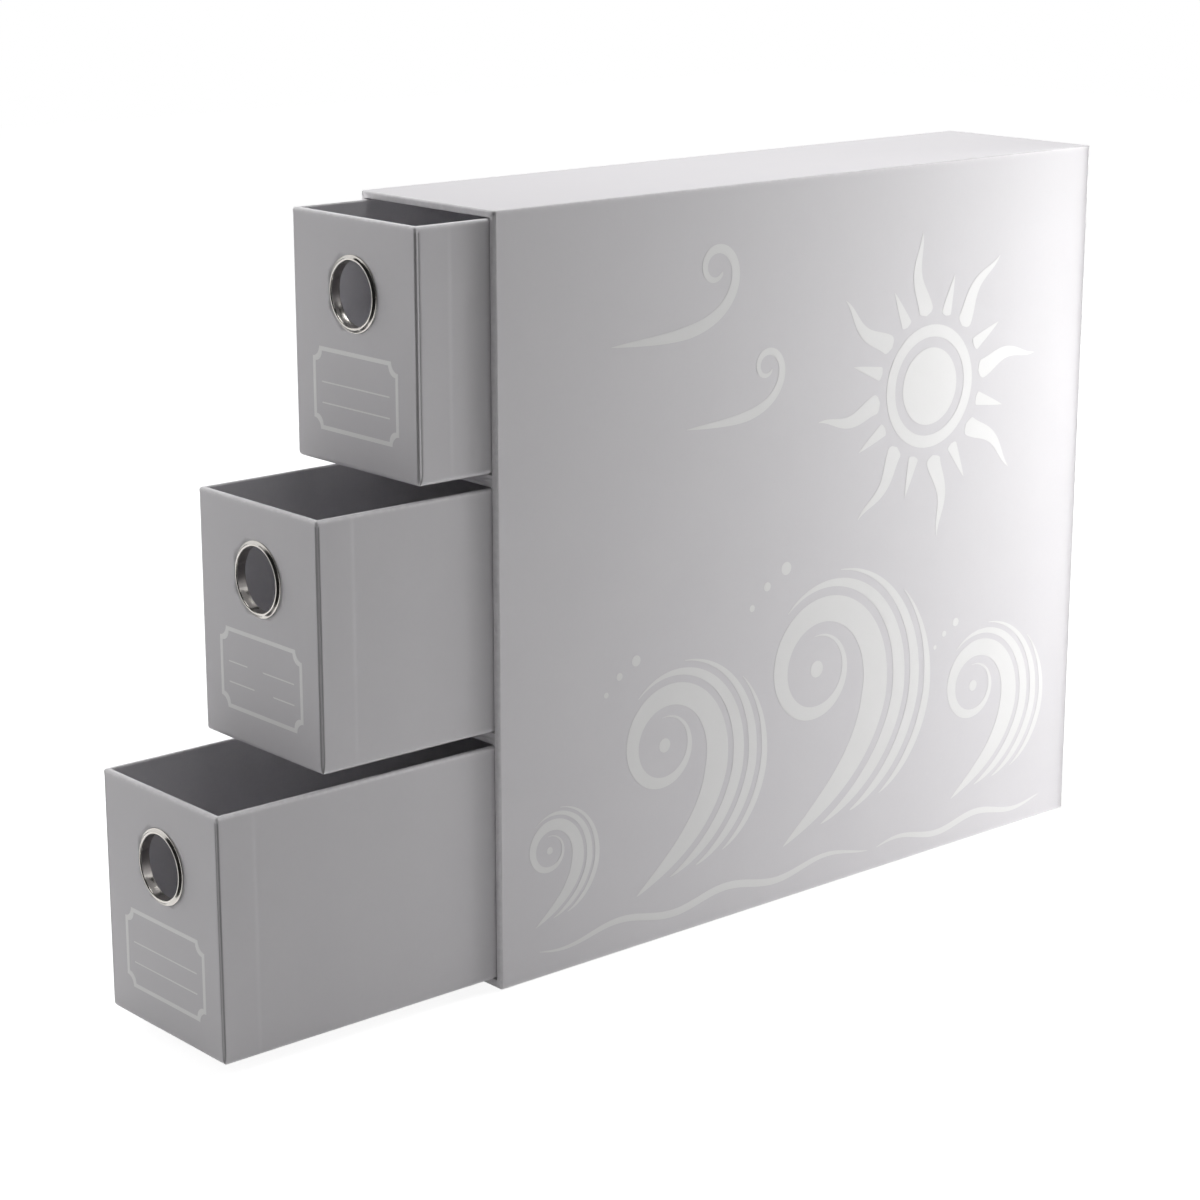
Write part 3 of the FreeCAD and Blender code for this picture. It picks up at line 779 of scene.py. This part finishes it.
def addWasher(which):
    # A flat ring whose back edges are rounded, from its outer edge round the back to the hole.
    centre, soft = holeCentre(which), ringShape["washerRound"]
    low, high = corners(which + "_drawer_ring_washer")
    inside, outside = ringShape["hole"] + 0.02, high[0]
    back, front = centre[1] - high[1], centre[1] - low[1]
    bend = np.linspace(0, math.pi / 2, 5)
    across, down = soft * (1 - np.cos(bend)), soft * (1 - np.sin(bend))
    radii = np.concatenate([outside - across, inside + down, [inside], [outside]])
    heights = np.concatenate([back + down, back + across, [front], [front]])
    washer = turned(which + "_drawer_washer", centre, radii, heights, materials["nickel"])
    finish(washer, which + "_drawer", "nickel", which + "_drawer_ring_washer")


# Where the two creases run, along the outline from the corner's middle to the side, and how far below
# the rim they start at the four corners: front right, back right, back left, front left.
cornerFolds = {
    "bottom": {"at": (-0.93, 0.15), "below": (1.6, 1.6, 1.6, 0.3)},
    "middle": {"at": (-0.60, 0.75), "below": (1.6, 1.6, 1.6, 0.3)},
    "top": {"at": (0.1, 1.6), "below": (1.6, 1.6, 1.6, 1.6)},
}

for which in drawers:
    addDrawerPaper(which, cornerFolds[which])
    addDrawerBoards(which)
    addDrawerLining(which)
    addRing(which)
    addWasher(which)
print("drawers covered, lined and ringed")


caseShape = {
    "halfWidth": 41.45,
    "edgeRadius": 0.75,
    "frontRound": 1.1,
    "mouthRound": 0.3,
    "turnIn": 0.3,
    "paper": 0.22,
    "coverInset": 2.5,
    "coverProud": 0.12,
    "backSheet": 0.4,
    "dentAt": (40.7, 308.9),
    "dentSize": 0.55,
    "dentDepth": 0.2,
    "dentShade": 0.9,
    "ripple": 0.012,
    "columnSpacing": 6.0,
    "rowSpacing": 6.0,
    "arcSteps": 8,
}


def caseRows(low, high, mouthLow, mouthHigh, shape):
    # The paper's section from the mouth round the front edge, along the case to the back and over the
    # back cover sheet, then back again on the inside of the paper; and how many rows are outside.
    front, back, edge, bend = low[1], high[1], shape["edgeRadius"], shape["mouthRound"]
    middle = np.array([0.0, (low[2] + high[2]) / 2])
    outerHalf = np.array([shape["halfWidth"], (high[2] - low[2]) / 2])
    mouthMiddle = np.array([0.0, (mouthLow[2] + mouthHigh[2]) / 2])
    mouthHalf = np.array([mouthHigh[0], (mouthHigh[2] - mouthLow[2]) / 2])
    turn = np.linspace(0, math.pi / 2, 7)
    near = np.array([0.2, 0.6, 1.2, 2.2, 4.0])
    roundFront = shape["frontRound"]
    run = np.linspace(front + roundFront + near[-1], back - edge - near[-1],
                      round((back - front) / shape["rowSpacing"]))
    run = np.unique(np.round(np.concatenate([front + roundFront + near, run, back - edge - near]), 6))
    wrapBack = back - shape["coverProud"]
    rows = []
    for t in turn:
        rows.append((mouthMiddle, mouthHalf + bend * (1 - math.cos(t)), 0.15,
                     front + bend * (1 - math.sin(t))))
    for t in turn:
        rows.append((middle, outerHalf - roundFront * (1 - math.sin(t)), max(0.15, edge * math.sin(t)),
                     front + roundFront * (1 - math.cos(t))))
    for y in run:
        rows.append((middle, outerHalf, edge, y))
    for t in turn:
        rows.append((middle, outerHalf - edge * (1 - math.cos(t)), max(0.15, edge * math.cos(t)),
                     wrapBack - edge * (1 - math.sin(t))))
    cover = shape["coverInset"]
    for inset, y in ((cover - 0.06, wrapBack), (cover, wrapBack + 0.04), (cover + 0.05, back),
                     (cover + 0.5, back), (10.0, back)):
        rows.append((middle, outerHalf - inset, min(0.4, outerHalf[0] - inset), y))
    outside, paper, backInside = len(rows), shape["paper"], back - shape["backSheet"]
    for inset, y in ((10.0, backInside), (1.0, backInside), (paper, back - 1.2)):
        rows.append((middle, outerHalf - inset, min(0.5, outerHalf[0] - inset), y))
    for y in run[::-1]:
        rows.append((middle, outerHalf - paper, edge - paper, y))
    rows.append((middle, outerHalf - 0.6, 0.2, front + 0.3))
    rows.append((mouthMiddle, mouthHalf + bend, 0.15, front + 0.35))
    return rows, outside


def addCasePaper():
    # The rows with a bell-shaped dent at two corners, painted shade in the dent, and a slow ripple on
    # the flats: a sum of sines.
    shape = caseShape
    low, high = corners("case_wrap")
    floorHigh, roofLow = corners("case_floor_board")[1], corners("case_top_board")[0]
    turnIn = shape["turnIn"]
    mouthLow = np.array([-floorHigh[0] + turnIn, 0, floorHigh[2] + turnIn])
    mouthHigh = np.array([floorHigh[0] - turnIn, 0, roofLow[2] - turnIn])
    rows, outside = caseRows(low, high, mouthLow, mouthHigh, shape)
    centre, half = np.array([row[0] for row in rows]), np.array([row[1] for row in rows])
    radius, y = np.array([row[2] for row in rows]), np.array([row[3] for row in rows])
    columns = loopColumns(2 * shape["halfWidth"], high[2] - low[2], shape["edgeRadius"], shape["arcSteps"],
                          shape["columnSpacing"])
    plan = loopPoints(columns, centre, half, radius)
    x, z, y = plan[..., 0], plan[..., 1], y[:, None] + 0 * plan[..., 0]
    dentX, dentZ = shape["dentAt"]
    toDent = np.sqrt((np.abs(x) - dentX) ** 2 + (z - dentZ) ** 2 + (y - low[1]) ** 2)
    dent = shape["dentDepth"] * bell(toDent, shape["dentSize"])
    # Painted shade: the dent is darkened in colour through the crease attribute, as well as pressed in.
    paintedDentShade = shape["dentShade"] * bell(toDent, shape["dentSize"])
    inward = np.array([0.0, 155.0]) - plan
    plan = plan + dent[..., None] * inward / np.linalg.norm(inward, axis=-1).clip(1.0)[..., None]
    flat = (eased((np.abs(columns["arc"])[None] - 2) / 8) * eased((y - low[1] - 2) / 8)
            * eased((high[1] - 2 - y) / 8))
    waves = (np.sin(y / 3.7 + z / 19.0) + np.sin(y / 2.3 - z / 13.0 + 1.0)
             + 0.8 * np.sin(z / 4.9 + y / 40.0))
    plan = plan + (columns["way"][None] * (shape["ripple"] / 3 * flat * (waves - 2.8))[..., None])
    points = np.stack([plan[..., 0], y + dent, plan[..., 1]], axis=-1)
    count = points.shape[1]
    faces = [list(face) for face in quadFaces(points.shape[0], count, True, True)]
    faces[(outside - 1) * count:outside * count] = [
        list(range((outside - 1) * count, outside * count)),  # the middle of the back, outside
        list(range(outside * count, (outside + 1) * count))[::-1],  # and inside
    ]
    paper = makeMesh("case_paper", points, faces, materials["casePaper"], crease=paintedDentShade)
    at = vertexArray(paper)
    # The fold share on the front, back and long edges is wear and painted highlight.
    front = bell(at[:, 1] - low[1] - 0.3, 0.5)
    back = bell(at[:, 1] - high[1] + 0.4, 0.5)
    long = bell(shape["halfWidth"] - np.abs(at[:, 0]), 0.5) * np.maximum(bell(at[:, 2] - high[2], 0.6),
                                                                      bell(at[:, 2] - low[2], 0.6))
    paintFold(paper, np.clip(np.maximum(np.maximum(front, back), long), 0, 1))
    finish(paper, "case", "case_paper", "case_wrap")


stripShape = {
    "grooves": (-1.25, -0.15, 1.05),
    "grooveWidth": 0.12,
    "grooveDepth": 0.10,
    "flare": 0.9,
    "flareReach": 1.4,
    "rows": 61,
}


def addShelfEdge(which):
    # A strip of paper over the front of the two boards: a flat band with shallow lines along it that
    # curves down where it meets the case walls, closed behind.
    shape = stripShape
    low, high = corners(which + "_shelf_edge_strip")
    middle, half = (low[2] + high[2]) / 2, (high[2] - low[2]) / 2
    x = np.linspace(low[0], high[0], 79)
    x = np.unique(np.concatenate([x, low[0] + np.linspace(0, 2, 11), high[0] - np.linspace(0, 2, 11)]))
    share = np.linspace(-1, 1, shape["rows"])
    flare = shape["flare"] * np.clip(1 - (high[0] - np.abs(x)) / shape["flareReach"], 0, 1) ** 2
    z = middle + share[:, None] * half - flare * (1 - share[:, None]) / 2
    groove = sum(bell(share[:, None] * half - at, shape["grooveWidth"]) for at in shape["grooves"])
    wander = 1 + 0.3 * np.sin(x / 9.0 + len(which))
    turnBack = 0.22 * np.clip((np.abs(share[:, None]) - 0.92) / 0.08, 0, 1) ** 2
    y = low[1] + 0.02 + shape["grooveDepth"] * groove * wander + turnBack
    front = np.stack([np.broadcast_to(x, z.shape), y, z], axis=-1)
    rear = np.stack([x, np.full_like(x, high[1]), np.full_like(x, middle + half)], axis=-1)
    rearLow = np.stack([x, np.full_like(x, high[1]), middle - half - flare], axis=-1)
    points = np.concatenate([front, rear[None], rearLow[None]])
    rowCount, count = points.shape[0], len(x)
    loops = [list(face) for face in quadFaces(rowCount, count, True, False)]
    startCap = [row * count for row in range(rowCount)]
    endCap = [row * count + count - 1 for row in range(rowCount)][::-1]
    strip = makeMesh(which + "_shelf_edge_paper", points, loops + [startCap, endCap],
                     materials["casePaper"])
    paintFold(strip, np.zeros(len(strip.data.vertices)))
    finish(strip, "case", "case_paper", which + "_shelf_edge_strip")


def addCaseBoards():
    low, high = corners("case_left_board")[0], corners("case_right_board")[1]
    low[2], high[2] = corners("case_floor_board")[0][2], corners("case_top_board")[1][2]
    for side in ("left", "right", "top", "floor"):
        node = "case_" + side + "_board"
        addPressedBoard(node, "case_" + side + "_card", "case", (1, corners(node)[0][1]), (low, high),
                        caseShape["frontRound"] - caseShape["paper"])


addCasePaper()
addCaseBoards()
for which in shelves:
    addShelfEdge(which)
print("case covered")


def plateMesh(parts):
    # Joins closed plates, each a grid of points whose rows and columns both close on themselves, or
    # whose ends are capped.
    points, faces, start = [], [], 0
    for grid, closeAlong in parts:
        rows, count = grid.shape[:2]
        points.append(grid.reshape(-1, 3))
        faces += [list(face) for face in quadFaces(rows, count, True, closeAlong) + start]
        if not closeAlong:
            faces.append([start + row * count for row in range(rows)])
            faces.append([start + row * count + count - 1 for row in range(rows)][::-1])
        start += rows * count
    return np.vstack(points), faces


def plateGrid(left, right, place, sunk, proud):
    # A thin closed plate between two outlines: its top, then its underside.
    return np.stack([place(left, proud), place((left + right) / 2, proud), place(right, proud),
                     place(right, sunk), place(left, sunk)])


labelShape = {
    "halfWidth": 27.0,
    "bottom": 13.0,
    "top": 45.5,
    "notch": 4.2,
    "line": 1.7,
    "rules": (31.8, 23.6),
    "ruleHalf": 21.5,
    "ruleLine": 0.55,
    "proud": 0.03,
    "sunk": 0.05,
}


def ticketOutline(halfWide, halfHigh, notch):
    # A rectangle whose corners are cut by quarter circles centred on the corners.
    signs = np.array([(1, -1), (1, 1), (-1, 1), (-1, -1)])
    notches = []
    for index in range(4):
        turn = np.radians(180 + 90 * index - np.linspace(0, 90, 13))
        notches.append(signs[index] * (halfWide, halfHigh)
                       + notch * np.column_stack([np.cos(turn), np.sin(turn)]))
    points = []
    for index in range(4):
        end, start = notches[index][-1], notches[(index + 1) % 4][0]
        points += [notches[index], end + (start - end) * np.linspace(0, 1, 8)[1:-1, None]]
    return np.vstack(points)


def capsule(centre, half, width, steps=9):
    # The two edges of a short bar with round ends.
    turn = np.linspace(0, math.pi / 2, steps)
    end = width / 2 * (1 - np.cos(turn))
    along = np.concatenate([-half + end, half - end[::-1]])
    across = np.concatenate([width / 2 * np.sin(turn), width / 2 * np.sin(turn)[::-1]])
    across = np.maximum(across, 0.01)
    left = np.column_stack([centre[0] + along, centre[1] + across])
    right = np.column_stack([centre[0] + along, centre[1] - across])
    return left, right


def addLabel(which):
    shape = labelShape
    low, high = corners(which + "_drawer_wrap")
    level = (shape["bottom"] + shape["top"]) / 2
    middle, halfHigh = low[2] + level, (shape["top"] - shape["bottom"]) / 2

    def place(outline, lift):
        x, z = outline[:, 0], middle + outline[:, 1]
        return np.column_stack([x, low[1] - lift + boardRipple(x, low[1], z), z])

    outer = ticketOutline(shape["halfWidth"], halfHigh, shape["notch"])
    inner = ticketOutline(shape["halfWidth"] - shape["line"], halfHigh - shape["line"], shape["notch"])
    parts = [(plateGrid(outer, inner, place, -shape["sunk"], shape["proud"]), True)]
    for rule in shape["rules"]:
        left, right = capsule((0, rule - level), shape["ruleHalf"], shape["ruleLine"])
        parts.append((plateGrid(left, right, place, -shape["sunk"], shape["proud"]), False))
    points, faces = plateMesh(parts)
    label = makeMesh(which + "_drawer_label_print", points, faces, materials["labelInk"])
    finish(label, which + "_drawer", "drawer_paper")


for which in drawers:
    addLabel(which)
print("labels printed")

# A sun over curling waves, with two scrolls of wind. Places are along the case and up from its
# underside; a wave has its foot, its size and how many lines follow its back. A line has its length,
# how many degrees it turns, and the power by which it turns. Rays are long and short by turns.
sidePrint = {
    "sunAt": (70.0, 214.0),
    "sunSize": 1.05,
    "disc": 16.0,
    "ring": (25.5, 20.5),
    "rays": 16,
    "rayStart": 29.5,
    "rayLength": (36.0, 17.0),
    "rayWidth": (8.6, 6.0),
    "rayTilt": 6.0,
    "rayWave": 20.0,
    "waveLine": (222.0, 520.0, 1.95),
    "waveWidth": 17.0,
    "eye": (12.0, 3.0),
    "backGap": 3.2,
    "backWidth": (6.0, 1.2),
    "windLine": (118.0, 430.0, 3.6),
    "windWidth": 6.2,
    "waves": [((-152.0, 22.0), 0.5, 2), ((-98.0, 22.0), 1.0, 3), ((-14.0, 24.0), 1.22, 3),
              ((92.0, 22.0), 0.82, 3)],
    "winds": [((-112.0, 252.0), 1.0), ((-72.0, 214.0), 0.8)],
    "waters": [(-150.0, 38.0, 12.0, 3.4, 2.2, 60.0, 0.3), (44.0, 152.0, 10.0, 3.0, 2.0, 52.0, 1.0)],
    "spray": [(2.3, 112.0), (1.6, 126.0), (1.2, 139.0)],
    "sprayReach": 42.0,
    "sprayFrom": 0.6,
    "proud": 0.04,
    "sunk": 0.08,
}


def heading(angle):
    # The direction of an angle in degrees, or one row for each of several.
    return np.stack([np.cos(np.radians(angle)), np.sin(np.radians(angle))], axis=-1)


def turningLine(at, start, length, turn, ease, steps):
    # A line whose heading turns by a power of the distance along it, so that it curls ever tighter.
    share = np.linspace(0, 1, steps + 1)
    middle = (share[1:] + share[:-1]) / 2
    step = heading(start + turn * middle ** ease) * length / steps
    return share, np.vstack([[0, 0], np.cumsum(step, axis=0)]) + np.asarray(at, float)


def leftOf(line):
    # The direction to the left of a line at each of its points.
    along = np.gradient(line, axis=0)
    along /= np.linalg.norm(along, axis=1)[:, None]
    return np.column_stack([-along[:, 1], along[:, 0]])


def strokeEdges(line, width):
    # The two edges of a stroke, half its width to each side of the line.
    aside = leftOf(line) * np.maximum(width, 0.2)[:, None] / 2
    return line + aside, line - aside


def discEdges(centre, radius):
    return capsule(centre, radius, 2 * radius, 13)


def waveStrokes(at, size, backs):
    # A stroke that swells from its foot and thins into its curl, with a drop in the eye, and
    # narrower strokes side by side along its back.
    look = sidePrint
    length, curl, ease = look["waveLine"]
    share, line = turningLine(at, 30.0, length * size, curl, ease, 150)
    width = look["waveWidth"] * size * np.clip(share / 0.3, 0, 1) ** 0.8 * (1 - share) ** 0.85
    strokes = [strokeEdges(line, width)]
    aside = leftOf(line)
    eyeOffset, eyeRadius = look["eye"]
    eye = line[-1] + aside[-1] * eyeOffset * size
    strokes.append(discEdges(eye, eyeRadius * size))
    for radius, angle in look["spray"] if size > look["sprayFrom"] else ():
        strokes.append(discEdges(eye + heading(angle) * look["sprayReach"] * size, radius * size))
    gap = look["backGap"] * size
    offset = -(width / 2 + gap)
    first, less = look["backWidth"]
    for back in range(backs):
        start, end = 0.08 + 0.05 * back, 0.60 - 0.09 * back
        held = (share >= start) & (share <= end)
        along = (share[held] - start) / (end - start)
        narrow = np.maximum(size * (first - less * back) * np.sin(math.pi * along ** 0.8) ** 0.9, 0.25)
        strokes.append(strokeEdges(line[held] + aside[held] * (offset[held] - narrow / 2)[:, None], narrow))
        offset[held] -= narrow - 0.1 * gap
        offset -= gap
    return strokes


def sunStrokes(at, size):
    # A disc with tapering rays round it, every other one long and wavy.
    look = sidePrint
    strokes = [discEdges(at, look["disc"] * size)]
    for ray in range(look["rays"]):
        angle = 360 * ray / look["rays"] + look["rayTilt"]
        length, widest = look["rayLength"][ray % 2], look["rayWidth"][ray % 2]
        wave = look["rayWave"] if ray % 2 == 0 else 0.0
        share = np.linspace(0, 1, 41)
        middle = (share[1:] + share[:-1]) / 2
        step = heading(angle + wave * np.sin(2 * math.pi * middle)) * length * size / 40
        line = np.vstack([[0, 0], np.cumsum(step, axis=0)]) + at + heading(angle) * look["rayStart"] * size
        width = widest * size * np.clip(share / 0.06, 0, 1) ** 0.5 * (1 - share) ** 0.8
        strokes.append(strokeEdges(line, width))
    return strokes


def addSidePrint():
    look = sidePrint
    face = caseShape["halfWidth"]

    def place(outline, lift):
        return np.column_stack([np.full(len(outline), face + lift), outline[:, 0], outline[:, 1]])

    strokes = sunStrokes(np.array(look["sunAt"]), look["sunSize"])
    for at, size, backs in look["waves"]:
        strokes += waveStrokes(at, size, backs)
    length, curl, ease = look["windLine"]
    for at, size in look["winds"]:
        share, line = turningLine(at, 0.0, length * size, curl, ease, 120)
        swell = np.clip(share / 0.35, 0, 1) ** 0.8 * (1 - share) ** 0.35
        strokes.append(strokeEdges(line, look["windWidth"] * size * swell))
    for start, end, level, width, swing, pitch, phase in look["waters"]:
        share = np.linspace(0, 1, 121)
        y = start + (end - start) * share
        line = np.column_stack([y, level + swing * np.sin(2 * math.pi * y / pitch + phase)])
        strokes.append(strokeEdges(line, width * np.sin(math.pi * share) ** 0.6))
    parts = [(plateGrid(*edges, place, -look["sunk"], look["proud"]), False) for edges in strokes]
    circle = heading(np.linspace(0, 360, 96, endpoint=False)) * look["sunSize"]
    ring = [circle * radius + look["sunAt"] for radius in look["ring"]]
    parts.append((plateGrid(*ring, place, -look["sunk"], look["proud"]), True))
    points, faces = plateMesh(parts)
    art = makeMesh("case_side_print", points, faces, materials["printInk"])
    finish(art, "case", "case_paper")


addSidePrint()
print("side printed")


# The finish of each CAD piece by the first ending that fits its name.
keptFinishes = {
    "_board": "greyboard",
    "_bay_lining": "liningPaper",
    "case_base_sheet": "casePaper",
    "_edge_strip": "casePaper",
    "case_wrap": "casePaper",
    "_wrap": "drawerPaper",
    "_lining": "liningPaper",
    "_ring": "nickel",
    "_washer": "nickel",
}
for node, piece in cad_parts.items():
    ending = next(ending for ending in keptFinishes if node.endswith(ending))
    piece.data.materials.clear()
    piece.data.materials.append(materials[keptFinishes[ending]])

print("CAD pieces finished")
